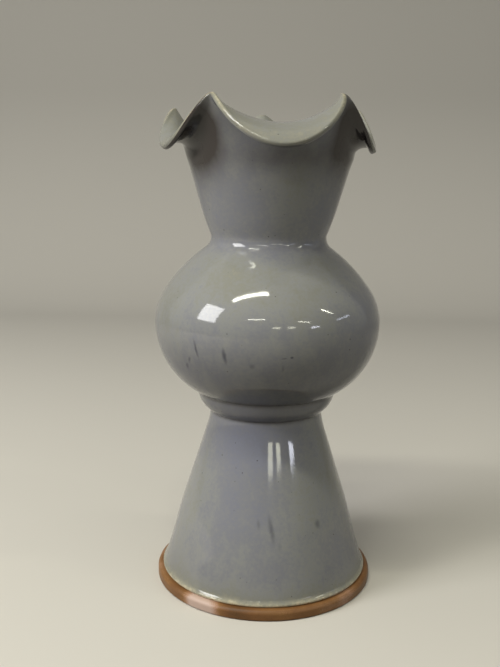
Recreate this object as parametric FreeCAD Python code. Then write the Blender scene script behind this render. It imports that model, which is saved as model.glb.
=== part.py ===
import FreeCAD, Part
import math
import os

# A stoneware stem vase, thrown in sections: a bare foot ring, a flared hollow pedestal, a collar,
# a round belly with a closed floor, and a trumpet neck whose rim is folded out into five lobes.
# Each section stands on the one below through a thin band of slip. Lengths are in millimetres and
# angles in degrees. +Z is up, and the origin is the centre of the face that the vase stands on.

# Foot ring
foot_ring_radius = 80.2
foot_ring_height = 7.8
foot_ring_width = 14.5
foot_ring_shoulder_round = 3.0
foot_ring_edge_break = 0.8
# How far the ring stands out past the foot of the pedestal
foot_ring_ledge = 4.4

# Bands of slip between the sections
slip_thickness = 0.6
slip_setback = 0.4

# Pedestal
pedestal_height = 119.6
pedestal_waist_radius = 40.8
pedestal_wall = 6.5
pedestal_foot_round = 1.6
# Outer side from the foot up: share of the height, share of the narrowing
pedestal_side_shares = (
    (0, 0), (0.18, 0.196), (0.38, 0.358), (0.58, 0.568), (0.76, 0.78), (0.9, 0.944), (0.945, 0.985), (1, 1))

# Collar
collar_height = 14.2
collar_foot_radius = 41.4
collar_top_radius = 50.2
collar_bulge = 2.0

# Belly
belly_radius = 81.0
belly_seat_radius = 51.0
belly_lower_height = 50.2
belly_upper_height = 60.0
belly_wall = 6.0
belly_floor = 7.0
# Ends of the shoulder's arcs from the widest line up: share of the height, share of the narrowing
belly_shoulder_shares = ((0, 0), (0.386, 0.176), (0.722, 0.689), (0.776, 0.816), (1, 1))

# Neck, from its root to the throat where the rim begins
neck_root_radius = 41.3
neck_root_wall = 6.0
neck_throat_radius = 56.8
neck_throat_height = 50.8
# Control points of the flare: share of the height, share of the widening
neck_flare_shares = ((0, 0), (0.06, 0.02), (0.17, 0.2), (0.5, 0.54))

# Rim, measured along the middle of its wall, with heights above the throat
rim_wall = 4.8
rim_peak_wall = 3.4
rim_peak_radius = 70.5
rim_peak_height = 38.0
rim_crest_radius = 65.0
rim_crest_height = 21.8
rim_fold_half_width = 3.2
rim_lip_radius = 78.0
rim_lip_height = 10.0
# Turns of the five peaks about the vase, from the front towards the right
rim_peak_turns = (-31.4, 40.8, 117, 185, 257.6)
# Hand-made differences: one share for each peak, and for the lobe that follows each peak
rim_peak_radius_shares = (1.01, 0.92, 1.01, 1, 0.99)
rim_peak_height_shares = (1.03, 1.115, 1, 0.95, 0.96)
rim_crest_height_shares = (1.045, 0.61, 0.75, 0.75, 0.68)
rim_lip_radius_shares = (1.175, 0.915, 0.98, 1, 0.97)
rim_lip_height_shares = (1.095, 0.945, 1, 1.04, 1.05)
# How fast the crest, the lip's height and the lip's reach fade towards a peak
rim_crest_fade_share = 0.92
rim_lip_height_fade_share = 1.15
rim_lip_reach_fade_share = 0.7
# How much faster each lobe fades at its right end than at its left end, seen from outside
rim_lip_height_lean_shares = (-0.05, -0.12, 0, 0, -0.09)
rim_lip_reach_lean_shares = (-0.17, 0.11, 0, 0, 0)
rim_peak_softness_share = 0.1
# Share of a peak's height up to which the wall stands, before the fold runs out
rim_peak_stand_share = 0.85
# Control points up to the crest, then from the crest down to the lip: across, and up or down
rim_rise_shares = ((0, 0), (0.25, 0.25), (0.3, 0.5), (0.5, 0.8))
rim_inner_crest_share = 0.6
rim_fall_shares = ((0.41, 0.22), (0.83, 0.6), (1, 1))
rim_lip_round_share = 1.2
rim_steps_in_lobe = 16
# Nought spaces the steps evenly, and one bunches them tightly at the peaks
rim_step_bunching_share = 0.8

pedestal_foot_radius = foot_ring_radius - foot_ring_ledge

# Heights at which the sections start
pedestal_bottom = foot_ring_height + slip_thickness
pedestal_top = pedestal_bottom + pedestal_height
collar_bottom = pedestal_top + slip_thickness
collar_top = collar_bottom + collar_height
belly_bottom = collar_top + slip_thickness
belly_equator = belly_bottom + belly_lower_height
belly_top = belly_equator + belly_upper_height
neck_bottom = belly_top + slip_thickness
neck_throat = neck_bottom + neck_throat_height


def at(radius, height):
    """A point of a turned profile."""
    return FreeCAD.Vector(radius, 0, height)


def line(start, end):
    return Part.LineSegment(start, end).toShape()


def arc(start, middle, end):
    return Part.Arc(start, middle, end).toShape()


def turned(edges):
    """Turn a closed profile about the vase's axis."""
    profile = Part.Face(Part.Wire(edges))
    return profile.revolve(FreeCAD.Vector(), FreeCAD.Vector(0, 0, 1), 360)


def band(outer_radius, inner_radius, bottom, height):
    """A flat ring with square edges."""
    corners = [at(inner_radius, bottom), at(outer_radius, bottom)]
    corners += [at(outer_radius, bottom + height), at(inner_radius, bottom + height)]
    return turned([line(a, b) for a, b in zip(corners, corners[1:] + corners[:1])])


def chained_arcs(points, direction):
    """Arcs from point to point, each starting along the last one, and the direction at every point."""
    edges = []
    directions = [direction]
    for start, end in zip(points, points[1:]):
        chord = (end - start).normalize()
        middle_direction = (directions[-1] + chord).normalize()
        half = (end - start).Length / 2
        middle = start + middle_direction * (half / (middle_direction * chord))
        edges.append(arc(start, middle, end))
        directions.append(chord * (directions[-1] * chord) * 2 - directions[-1])
    return edges, directions


def inset_points(points, directions, wall):
    """The points of a rising profile moved square to it, by the wall, towards the axis."""
    return [
        point + FreeCAD.Vector(-direction.z, 0, direction.x) * wall
        for point, direction in zip(points, directions)]


def make_foot_ring():
    """A bare ring with a rounded outer shoulder and broken lower edges."""
    outer = foot_ring_radius
    inner = foot_ring_radius - foot_ring_width
    top = foot_ring_height
    taken_off = foot_ring_edge_break
    shoulder = foot_ring_shoulder_round
    inward = shoulder * (1 - math.sqrt(0.5))
    corners = [at(outer - shoulder, top), at(inner, top), at(inner, taken_off), at(inner + taken_off, 0)]
    corners += [at(outer - taken_off, 0), at(outer, taken_off), at(outer, top - shoulder)]
    edges = [line(a, b) for a, b in zip(corners, corners[1:])]
    edges.append(arc(corners[-1], at(outer - inward, top - inward), corners[0]))
    return turned(edges)


def pedestal_side():
    """The smooth outer side from the foot up to the waist."""
    narrowing = pedestal_foot_radius - pedestal_waist_radius
    side = Part.BSplineCurve()
    side.interpolate([
        at(pedestal_foot_radius - narrowing * inward, pedestal_bottom + pedestal_height * up)
        for up, inward in pedestal_side_shares])
    return side


def pedestal_bores():
    """The inner radii at the foot and at the waist, one wall in from the sloping side."""
    lean = math.atan2(pedestal_foot_radius - pedestal_waist_radius, pedestal_height)
    across = pedestal_wall / math.cos(lean)
    return pedestal_foot_radius - across, pedestal_waist_radius - across


def make_pedestal():
    """A hollow flared cone, open below, with a rounded lower edge where the glaze rolls up."""
    side = pedestal_side()
    foot_bore, waist_bore = pedestal_bores()
    level = Part.Plane(FreeCAD.Vector(0, 0, pedestal_bottom + pedestal_foot_round), FreeCAD.Vector(0, 0, 1))
    rolled = FreeCAD.Vector(*side.intersect(level)[0][0].toShape().Point)
    start = rolled - FreeCAD.Vector(pedestal_foot_round, 0, pedestal_foot_round)
    inward = pedestal_foot_round * (1 - math.sqrt(0.5))
    roll = arc(start, rolled + FreeCAD.Vector(-inward, 0, inward - pedestal_foot_round), rolled)
    waist = at(pedestal_waist_radius, pedestal_top)
    inner_waist = at(waist_bore, pedestal_top)
    inner_foot = at(foot_bore, pedestal_bottom)
    edges = [roll, side.toShape(side.parameter(rolled), side.LastParameter), line(waist, inner_waist)]
    edges += [line(inner_waist, inner_foot), line(inner_foot, start)]
    return turned(edges)


def make_collar():
    """A short ring that widens upwards, with a bulging side, bored like the top of the pedestal."""
    foot = at(collar_foot_radius, collar_bottom)
    head = at(collar_top_radius, collar_top)
    chord = head - foot
    outward = FreeCAD.Vector(chord.z, 0, -chord.x).normalize()
    middle = (foot + head) * 0.5 + outward * collar_bulge
    bore = pedestal_bores()[1]
    inner_head = at(bore, collar_top)
    inner_foot = at(bore, collar_bottom)
    edges = [arc(foot, middle, head), line(head, inner_head)]
    edges += [line(inner_head, inner_foot), line(inner_foot, foot)]
    return turned(edges)


def on_lower_arc(depth, height):
    """The point of the round underside at one height, at a depth below the outer skin."""
    spread = belly_radius - belly_seat_radius
    radius = (spread ** 2 + belly_lower_height ** 2) / (spread * 2)
    across = math.sqrt((radius - depth) ** 2 - (belly_equator - height) ** 2)
    return at(belly_radius - radius + across, height)


def belly_lower_edge(depth, low):
    """The round underside from one height up to the widest line."""
    middle = on_lower_arc(depth, (low + belly_equator) / 2)
    return arc(on_lower_arc(depth, low), middle, on_lower_arc(depth, belly_equator))


def make_belly():
    """A squat bulb with a closed floor, open above at the root of the neck."""
    narrowing = belly_radius - neck_root_radius
    points = [
        at(belly_radius - narrowing * inward, belly_equator + belly_upper_height * rise)
        for rise, inward in belly_shoulder_shares]
    up = FreeCAD.Vector(0, 0, 1)
    shoulder, directions = chained_arcs(points, up)
    inner_points = inset_points(points[:-1], directions, belly_wall)
    inner_points.append(at(neck_root_radius - belly_wall, belly_top))
    inner_shoulder = chained_arcs(inner_points, up)[0]
    floor = belly_bottom + belly_floor
    inner_seat = on_lower_arc(belly_wall, floor)
    edges = [belly_lower_edge(0, belly_bottom)] + shoulder
    edges += [line(points[-1], inner_points[-1])] + inner_shoulder[::-1]
    edges += [belly_lower_edge(belly_wall, floor), line(inner_seat, at(0, floor))]
    edges.append(line(at(0, floor), at(0, belly_bottom)))
    edges.append(line(at(0, belly_bottom), on_lower_arc(0, belly_bottom)))
    return turned(edges)


def along_lobe(step):
    """Share of the way from one peak to the next, with the steps bunched at the peaks."""
    share = step / rim_steps_in_lobe
    return share - rim_step_bunching_share * math.sin(2 * math.pi * share) / (2 * math.pi)


def lobe_weight(along):
    """Nought at a peak and one at the middle of a lobe, softened at the peak."""
    wave = math.sin(math.pi * along)
    soft = rim_peak_softness_share
    return max(math.hypot(wave, soft) - soft, 0) / (math.hypot(1, soft) - soft)


def throat():
    """Radius of the middle of the wall and height of the throat."""
    return neck_throat_radius - rim_wall / 2, neck_throat


def lobe_line(lobe):
    """Control points, as radius and height, from the throat over the crest to the lip of a lobe."""
    start_radius, start_height = throat()
    inner_crest = rim_crest_radius - rim_fold_half_width
    outer_crest = rim_crest_radius + rim_fold_half_width
    rise = rim_crest_height * rim_crest_height_shares[lobe]
    crest = start_height + rise
    lip = start_height + rim_lip_height * rim_lip_height_shares[lobe]
    reach = rim_lip_radius * rim_lip_radius_shares[lobe]
    points = [
        (start_radius + (inner_crest - start_radius) * out, start_height + rise * up)
        for out, up in rim_rise_shares]
    points.append((rim_crest_radius - rim_fold_half_width * rim_inner_crest_share, crest))
    points.append((outer_crest, crest))
    points += [
        (outer_crest + (reach - outer_crest) * out, crest + (lip - crest) * down)
        for out, down in rim_fall_shares]
    return points


def peak_line(peak):
    """Control points from the throat to the tip of a peak, bunched where the fold runs out."""
    start_radius, start_height = throat()
    radius = rim_peak_radius * rim_peak_radius_shares[peak]
    height = rim_peak_height * rim_peak_height_shares[peak]
    standing = len(rim_rise_shares)
    folded = len(rim_fall_shares) + 1
    slope = (neck_throat_radius - neck_root_radius) / neck_throat_height
    middle_radius = start_radius + height * slope / 2
    shares = [rim_peak_stand_share * step / standing for step in range(standing + 1)]
    rest = 1 - rim_peak_stand_share
    shares += [rim_peak_stand_share + rest * step / folded for step in range(1, folded + 1)]
    points = []
    for up in shares:
        bend = (1 - up) ** 2 * start_radius + 2 * up * (1 - up) * middle_radius + up ** 2 * radius
        points.append((bend, start_height + height * up))
    return points


def blended_line(lobe, along):
    """Control points of the rim part of the way from one peak to the next."""
    count = len(rim_peak_turns)
    turn_share = along * along * (3 - 2 * along)
    weight = lobe_weight(along)
    here = peak_line(lobe)
    there = peak_line((lobe + 1) % count)
    fold = lobe_line(lobe)
    crest_index = len(rim_rise_shares)
    last = len(fold) - 1
    side = along * 2 - 1
    lip_reach_fade = rim_lip_reach_fade_share * (1 + rim_lip_reach_lean_shares[lobe] * side)
    lip_height_fade = rim_lip_height_fade_share * (1 + rim_lip_height_lean_shares[lobe] * side)
    points = []
    for index in range(len(fold)):
        past_crest = max(index - crest_index, 0) / (last - crest_index)
        reach_fade = rim_crest_fade_share + (lip_reach_fade - rim_crest_fade_share) * past_crest
        height_fade = rim_crest_fade_share + (lip_height_fade - rim_crest_fade_share) * past_crest
        radius = here[index][0] + (there[index][0] - here[index][0]) * turn_share
        height = here[index][1] + (there[index][1] - here[index][1]) * turn_share
        radius += weight ** reach_fade * (fold[index][0] - radius)
        height += weight ** height_fade * (fold[index][1] - height)
        points.append((radius, height))
    return points


def flare_line():
    """Control points of the neck's flare below the throat."""
    root_radius = neck_root_radius - neck_root_wall / 2
    throat_radius = throat()[0]
    return [
        (root_radius + (throat_radius - root_radius) * out, neck_bottom + neck_throat_height * up)
        for up, out in neck_flare_shares]


def around(radius, height, turn):
    """A point at a turn about the vase, where nought is the front and a quarter turn is the right."""
    angle = math.radians(turn)
    return FreeCAD.Vector(radius * math.sin(angle), -radius * math.cos(angle), height)


def half_walls(along):
    """Half the wall at each control point of the neck, thinning towards the tips of the peaks."""
    below = [neck_root_wall + (rim_wall - neck_root_wall) * up for up, out in neck_flare_shares]
    lip_wall = rim_peak_wall + (rim_wall - rim_peak_wall) * lobe_weight(along)
    count = len(rim_rise_shares) + 2 + len(rim_fall_shares)
    above = [rim_wall + (lip_wall - rim_wall) * index / (count - 1) for index in range(count)]
    return [wall / 2 for wall in below + above]


def middle_of_wall():
    """Grid of control points in the middle of the neck's wall, and half the wall at each of them."""
    grid = []
    halves = []
    flare = flare_line()
    count = len(rim_peak_turns)
    for lobe in range(count):
        start = rim_peak_turns[lobe]
        span = (rim_peak_turns[(lobe + 1) % count] - start) % 360
        for step in range(rim_steps_in_lobe):
            along = along_lobe(step)
            line_up = flare + blended_line(lobe, along)
            grid.append([around(radius, height, start + span * along) for radius, height in line_up])
            halves.append(half_walls(along))
    return grid, halves


def outward(grid, column, row):
    """Direction square to the grid at one control point, towards the outside of the vase."""
    around_grid = grid[(column + 1) % len(grid)][row] - grid[column - 1][row]
    line_up = grid[column]
    if row == 0:
        return FreeCAD.Vector(line_up[row].x, line_up[row].y, 0).normalize()
    up_grid = line_up[min(row + 1, len(line_up) - 1)] - line_up[row - 1]
    return around_grid.cross(up_grid).normalize()


def neck_skin():
    """Smooth skin that runs up the outside, over the rounded lip and down the inside."""
    grid, halves = middle_of_wall()
    poles = []
    for column, line_up in enumerate(grid):
        outer = []
        inner = []
        for row, point in enumerate(line_up):
            offset = outward(grid, column, row) * halves[column][row]
            outer.append(point + offset)
            inner.append(point - offset)
        lip = (line_up[-1] - line_up[-2]).normalize() * halves[column][-1] * rim_lip_round_share
        poles.append(outer + [outer[-1] + lip, inner[-1] + lip] + inner[::-1])
    columns = len(poles)
    rows = len(poles[0])
    degree = 3
    turn_knots = list(range(columns + 1))
    rise_knots = list(range(rows - degree + 1))
    rise_mults = [degree + 1] + [1] * (len(rise_knots) - 2) + [degree + 1]
    skin = Part.BSplineSurface()
    skin.buildFromPolesMultsKnots(
        poles, [1] * len(turn_knots), rise_mults, turn_knots, rise_knots, True, False, degree, degree)
    return skin.toShape()


def make_neck():
    """A trumpet with a rim folded out and down into lobes between upright peaks."""
    skin = neck_skin()
    rings = sorted((edge for edge in skin.Edges if edge.isClosed()), key=lambda edge: edge.Length)
    seat = Part.Face([Part.Wire([rings[-1]]), Part.Wire([rings[0]])])
    seat.reverse()
    return Part.Solid(Part.Shell([skin, seat]))


def make_slips():
    """The bands of slip, each drawn in a little from the edges of the sections that it joins."""
    foot_bore, waist_bore = pedestal_bores()
    foot_outer = pedestal_foot_radius - pedestal_foot_round * 2 - slip_setback
    foot_inner = max(foot_bore, foot_ring_radius - foot_ring_width) + slip_setback
    waist_outer = min(pedestal_waist_radius, collar_foot_radius) - slip_setback
    waist_inner = waist_bore + slip_setback
    belly_outer = min(collar_top_radius, belly_seat_radius) - slip_setback
    neck_inner = neck_root_radius - min(neck_root_wall, belly_wall) + slip_setback
    return {
        "foot_slip": band(foot_outer, foot_inner, foot_ring_height, slip_thickness),
        "waist_slip": band(waist_outer, waist_inner, pedestal_top, slip_thickness),
        "belly_slip": band(belly_outer, waist_inner, collar_top, slip_thickness),
        "neck_slip": band(neck_root_radius - slip_setback, neck_inner, belly_top, slip_thickness),
    }


def main():
    os.makedirs("parts", exist_ok=True)
    nodes = {
        "foot_ring": make_foot_ring(),
        "pedestal": make_pedestal(),
        "collar": make_collar(),
        "belly": make_belly(),
        "neck": make_neck(),
    }
    nodes.update(make_slips())
    for name, solid in nodes.items():
        solid.exportStep("parts/" + name + ".step")
        box = solid.BoundBox
        print(name, "valid" if solid.isValid() else "not valid", "volume", round(solid.Volume))
        print("  x", round(box.XMin, 2), round(box.XMax, 2), "y", round(box.YMin, 2), round(box.YMax, 2))
        print("  z", round(box.ZMin, 2), round(box.ZMax, 2))


main()
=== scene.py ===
# %% [markdown]
# # A stoneware stem vase
# The vase was thrown in sections, joined with slip and glazed as one: a bare foot ring, a flared pedestal,
# a collar, a round belly, and a trumpet neck whose rim is folded out into five lobes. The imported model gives
# each section's place and size. Here each glazed section gets a fine surface of its own, worked out from a
# formula, and its finish. Lengths are in metres, and a value written with mm is a real size.

# %% Load the frame
import math

import bpy
import numpy as np
from mathutils import Matrix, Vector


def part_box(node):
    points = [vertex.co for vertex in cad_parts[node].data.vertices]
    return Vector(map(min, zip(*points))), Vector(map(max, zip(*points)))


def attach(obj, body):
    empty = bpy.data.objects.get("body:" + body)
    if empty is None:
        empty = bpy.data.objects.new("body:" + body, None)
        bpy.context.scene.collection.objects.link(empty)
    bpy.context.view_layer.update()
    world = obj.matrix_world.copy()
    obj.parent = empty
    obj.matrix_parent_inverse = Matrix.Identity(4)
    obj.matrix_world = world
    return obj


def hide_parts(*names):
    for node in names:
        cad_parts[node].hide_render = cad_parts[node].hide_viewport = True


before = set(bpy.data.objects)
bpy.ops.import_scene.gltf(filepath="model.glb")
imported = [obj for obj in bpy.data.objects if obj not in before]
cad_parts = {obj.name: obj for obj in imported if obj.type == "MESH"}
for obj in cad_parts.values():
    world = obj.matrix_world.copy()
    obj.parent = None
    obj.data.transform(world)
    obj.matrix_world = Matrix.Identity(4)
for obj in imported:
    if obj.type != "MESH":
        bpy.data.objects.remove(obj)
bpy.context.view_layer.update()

mm = 0.001
print("nodes", sorted(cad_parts))

# %% [markdown]
# ## From a grid of points to a mesh
# Every section is a surface of two parameters: one goes round the vase and one goes along its outline. A
# grid of points holds it, a row for each place on the outline. A thrown wall has an outside and an inside, so
# its outline is a closed loop and the grid closes both ways. The belly has a floor, so its outline starts and
# ends near the axis, where a fan of triangles closes it. Writing whole arrays is fast and leaves no gaps.

# %% Turn a grid into a closed mesh
def grid_faces(rows, columns, loop):
    """Corner numbers of the squares between neighbouring rows; with loop the last row meets the first."""
    below = np.arange(rows if loop else rows - 1)
    left = np.arange(columns)
    low, near = np.meshgrid(below, left, indexing="ij")
    high = (low + 1) % rows
    far = (near + 1) % columns
    corners = [low * columns + near, low * columns + far, high * columns + far, high * columns + near]
    return np.stack(corners, -1).reshape(-1, 4)


def axis_fans(rows, columns):
    """Triangles that join the first row to a point on the axis at its height, and the last row to another."""
    around = np.arange(columns)
    onward = (around + 1) % columns
    first = np.full(columns, rows * columns)
    top = (rows - 1) * columns
    return np.concatenate([
        np.stack([first, onward, around], -1), np.stack([first + 1, top + around, top + onward], -1)])


def new_object(name, data):
    """An object for a mesh, a light or a camera, put into the scene."""
    thing = bpy.data.objects.new(name, data)
    bpy.context.scene.collection.objects.link(thing)
    return thing


def vectors(items, name):
    """A vector of three numbers for each item of a mesh, as one array."""
    values = np.empty(len(items) * 3)
    items.foreach_get(name, values)
    return values.reshape(-1, 3)


def mesh_from_grid(name, grid, loop=True, sharp_over=40):
    """A closed mesh from a grid. If its volume is negative, its faces point inwards and are turned round.
    Edges bent by more than sharp_over degrees stay crisp."""
    rows, columns = grid.shape[:2]
    points = grid.reshape(-1, 3)
    faces = grid_faces(rows, columns, loop).tolist()
    if not loop:
        points = np.vstack([points, [0, 0, grid[0, 0, 2]], [0, 0, grid[-1, 0, 2]]])
        faces += axis_fans(rows, columns).tolist()
    mesh = bpy.data.meshes.new(name)
    mesh.from_pydata(points, [], faces)
    mesh.validate()
    if signed_volume(mesh) < 0:
        mesh.flip_normals()
    mesh.shade_smooth()
    mesh.set_sharp_from_angle(angle=math.radians(sharp_over))
    print(name, "points", len(points), "volume in cm3", round(signed_volume(mesh) * 1e6, 1))
    return new_object(name, mesh)


def signed_volume(mesh):
    """A sixth of the sum of a . (b x c) over all triangles; it is negative when the faces point inwards."""
    mesh.calc_loop_triangles()
    corners = np.empty(len(mesh.loop_triangles) * 3, np.int32)
    mesh.loop_triangles.foreach_get("vertices", corners)
    a, b, c = vectors(mesh.vertices, "co")[corners.reshape(-1, 3)].transpose(1, 0, 2)
    return float(np.einsum("ij,ij->i", a, np.cross(b, c)).sum() / 6)


# %% [markdown]
# ## Turning an outline
# A potter's wheel makes round sections, so the pedestal, collar, belly and foot ring are outlines turned
# about the axis. A turn of nought is the front, and a quarter turn is the right as a person facing the vase
# sees it.

# %% Turn an outline about the axis
def at_turn(radius, turn, height):
    """Places round the axis: x is r sin(turn), y is -r cos(turn), z is the height."""
    return np.stack([radius * np.sin(turn), -radius * np.cos(turn), height], -1)


def turned(outline, columns):
    """Grid from an outline of radius and height, with a column for each of many equal turns."""
    turn = np.linspace(0, 2 * np.pi, columns, endpoint=False)
    return at_turn(outline[:, :1], turn, np.broadcast_to(outline[:, 1:], (len(outline), columns)))


def spaced(outline, step):
    """The same outline with evenly spaced points: radius and height are read against the length walked."""
    walked = np.concatenate([[0], np.cumsum(np.hypot(*np.diff(outline, axis=0).T))])
    places = np.linspace(0, walked[-1], max(int(round(walked[-1] / step)), 1) + 1)
    return np.stack([np.interp(places, walked, outline[:, 0]), np.interp(places, walked, outline[:, 1])], -1)


def rounded(outline, reach, step):
    """The outline softened: a moving average with a bell-shaped weight, cut off at three reaches."""
    count = int(3 * reach / step)
    weight = np.exp(-0.5 * (np.arange(-count, count + 1) * step / reach) ** 2)
    weight /= weight.sum()
    start = 2 * outline[0] - outline[count:0:-1]
    end = 2 * outline[-1] - outline[-2:-count - 2:-1]
    padded = np.vstack([start, outline, end])
    return np.stack([np.convolve(padded[:, axis], weight, "valid") for axis in range(2)], -1)


# %% [markdown]
# ## The outline below the neck
# The belly's outline is a walk with a steady turn on each stretch: a round underside, a shoulder in two arcs,
# a short straight and a hollow curve into the neck. Adding up the bends gives the heading, and adding up the
# steps gives the place, so all the arcs meet without a corner. The pedestal's side is a few straight
# stretches, softened where they meet.

# %% Sizes read from the frame
def node_span(name):
    """Lowest and highest corner of a node as arrays."""
    low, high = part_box(name)
    return np.array(low), np.array(high)


ring_high = node_span("foot_ring")[1]
pedestal_low, pedestal_high = node_span("pedestal")
collar_low, collar_high = node_span("collar")
belly_low, belly_high = node_span("belly")
neck_low, neck_high = node_span("neck")
slip = collar_low[2] - pedestal_high[2]
belly_radius = belly_high[0]
print("belly radius in mm", round(belly_radius / mm, 2), "slip band in mm", round(slip / mm, 2))

# %% Walk the belly's outline
belly_wall = 6.0 * mm
seat_radius = 51.0 * mm
lower_rise = 50.2 * mm
shoulder_arc, shoulder_turn = 42.0 * mm, math.radians(33.5)
upper_arc, upper_turn = 114.1 * mm, math.radians(19.41)
straight = 4.0 * mm
root_arc = 8.0 * mm
outline_step = 0.05 * mm


def walk(start, heading, stretches):
    """Points of a walk: the heading grows by the bend at each step, and the places add up the steps."""
    bends = [np.full(int(round(length / outline_step)), bend) for length, bend in stretches]
    headings = heading + np.cumsum(np.concatenate(bends)) * outline_step
    moves = np.stack([np.cos(headings), np.sin(headings)], -1) * outline_step
    return np.vstack([start, start + np.cumsum(moves, axis=0)])


lower_arc = ((belly_radius - seat_radius) ** 2 + lower_rise ** 2) / (2 * (belly_radius - seat_radius))
lower_turn = math.asin(lower_rise / lower_arc)
slope = shoulder_turn + upper_turn


def belly_outline(inset):
    """The belly's outline from its seat up to the neck's root; an inset of the wall gives its inside."""
    arcs = ((lower_arc, lower_turn), (shoulder_arc, shoulder_turn), (upper_arc, upper_turn))
    stretches = [((arc - inset) * turn, 1 / (arc - inset)) for arc, turn in arcs]
    stretches += [(straight, 0), ((root_arc + inset) * slope, -1 / (root_arc + inset)), (slip / 2, 0)]
    heading = math.pi / 2 - lower_turn
    seat = np.array([seat_radius, belly_low[2]])
    inward = np.array([-math.sin(heading), math.cos(heading)])
    return walk(seat + inward * inset, heading, stretches)


belly_outer = belly_outline(0)
belly_inner = belly_outline(belly_wall)
print("belly ends at radius and height in mm", np.round(belly_outer[-1] / mm, 2))

# %% The pedestal's side and the collar's bulge
pedestal_wall = 6.5 * mm
waist_radius = 40.8 * mm
pedestal_foot_radius = 75.8 * mm
# Share of the way up the pedestal, and share of the way in from its foot to its waist
side_shares = np.array([(0, 0), (0.18, 0.194), (0.4, 0.389), (0.93, 0.972), (1, 1)])
side_softening = 4.0 * mm
collar_foot = 41.4 * mm
collar_head = 50.2 * mm
collar_bulge = 2.0 * mm
pedestal_height = pedestal_high[2] - pedestal_low[2]

pedestal_outer = np.stack([
    pedestal_foot_radius - (pedestal_foot_radius - waist_radius) * side_shares[:, 1],
    pedestal_low[2] + pedestal_height * side_shares[:, 0]], -1)
pedestal_outer = rounded(spaced(pedestal_outer, outline_step), side_softening, outline_step)


def bulged(start, end, bulge, count=120):
    """A bulging line: the straight line plus a parabola across it, highest in the middle."""
    share = np.linspace(0, 1, count)[:, None]
    across = np.array([end[1] - start[1], start[0] - end[0]]) / np.hypot(*(end - start))
    return start + (end - start) * share + across * bulge * 4 * share * (1 - share)


collar_outer = bulged(
    np.array([collar_foot, collar_low[2]]), np.array([collar_head, collar_high[2]]), collar_bulge)
print("pedestal rows", len(pedestal_outer), "collar rows", len(collar_outer))

# %% One glazed outline, then its sections
# Thick glaze softens every corner of the clay under it
glaze_softening = 0.7 * mm
row_step = 1.0 * mm
# The glaze ends just over the bare ring, in a bead that reaches up to where the smooth skin begins
glaze_over_ring = 0.1 * mm
bead_height = 3.6 * mm
whole = np.vstack([pedestal_outer, collar_outer, belly_outer])
whole = rounded(spaced(whole, outline_step), glaze_softening, outline_step)


def section(low, high):
    """The part of the glazed outline between two heights, with both ends exactly there."""
    inside = whole[(whole[:, 1] > low) & (whole[:, 1] < high)]
    ends = [[np.interp(height, whole[:, 1], whole[:, 0]), height] for height in (low, high)]
    return spaced(np.vstack([ends[0], inside, ends[1]]), row_step)


waist = pedestal_high[2] + slip / 2
under_belly = collar_high[2] + slip / 2
glaze_end = ring_high[2] + glaze_over_ring
pedestal_skin = section(glaze_end + bead_height, waist)
collar_skin = section(waist, under_belly)
under_neck = belly_high[2] + slip / 2
belly_skin = section(under_belly, under_neck)
print("rows of pedestal, collar and belly", len(pedestal_skin), len(collar_skin), len(belly_skin))

# %% [markdown]
# ## Closing each section
# The pedestal and the collar are rings in section, with a bore. The belly is closed by its floor. Neighbours
# meet in the middle of the slip band that joins them, because the glaze closes over it on the real vase.
# Along the pedestal's foot the glaze ran down and stopped in a rounded bead.

# %% Make the pedestal, collar and belly
round_columns = 300
bore_step, end_step, inner_step, sole_step = 4 * mm, 3 * mm, 2 * mm, 1 * mm
bead_radius, bead_out = 1.5 * mm, 0.6 * mm
# The bead's arc in degrees from level, and its number of points
bead_from, bead_to, bead_points = -90, 50, 15
beyond_slip = 0.2 * mm
floor_wall = 7.0 * mm
near_axis = 1.0 * mm
same_place = 0.0001 * mm
lean = math.atan2(pedestal_foot_radius - waist_radius, pedestal_height)
foot_bore = pedestal_foot_radius - pedestal_wall / math.cos(lean)
waist_bore = waist_radius - pedestal_wall / math.cos(lean)
belly_floor = belly_low[2] + floor_wall


def chain(*parts):
    """Outline parts put end to end, with doubled points left out."""
    points = np.vstack(parts)
    fresh = np.concatenate([[True], np.hypot(*np.diff(points, axis=0).T) > same_place])
    return points[fresh]


def straight_line(start, end, step):
    """Evenly spaced points on the straight line from one place to another."""
    return spaced(np.array([start, end]), step)


bead_turn = np.radians(np.linspace(bead_from, bead_to, bead_points))
bead_centre = np.array([pedestal_foot_radius + bead_out - bead_radius, glaze_end + bead_radius])
bead = bead_centre + bead_radius * np.stack([np.cos(bead_turn), np.sin(bead_turn)], -1)
bore = straight_line((waist_bore, waist), (foot_bore, pedestal_low[2]), bore_step)
beside_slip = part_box("foot_slip")[1][0] + beyond_slip
sole = np.vstack([
    straight_line((foot_bore, pedestal_low[2]), (beside_slip, pedestal_low[2]), sole_step),
    [beside_slip, glaze_end], bead[:1]])
pedestal_loop = chain(bead, pedestal_skin, bore, sole)[:-1]
glazed_pedestal = mesh_from_grid("glazed_pedestal", turned(pedestal_loop, round_columns))

collar_loop = chain(
    collar_skin, straight_line(collar_skin[-1], (waist_bore, under_belly), end_step),
    straight_line((waist_bore, under_belly), (waist_bore, waist), end_step),
    straight_line((waist_bore, waist), collar_skin[0], end_step))[:-1]
glazed_collar = mesh_from_grid("glazed_collar", turned(collar_loop, round_columns))

above_floor = spaced(belly_inner[belly_inner[:, 1] > belly_floor], inner_step)[::-1]
belly_line = chain(
    straight_line((near_axis, under_belly), belly_skin[0], end_step), belly_skin,
    straight_line(belly_skin[-1], above_floor[0], inner_step), above_floor,
    straight_line((above_floor[-1][0], belly_floor), (near_axis, belly_floor), end_step))
glazed_belly = mesh_from_grid("glazed_belly", turned(belly_line, round_columns), loop=False)
turned_pieces = (glazed_pedestal, glazed_collar, glazed_belly)

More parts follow.
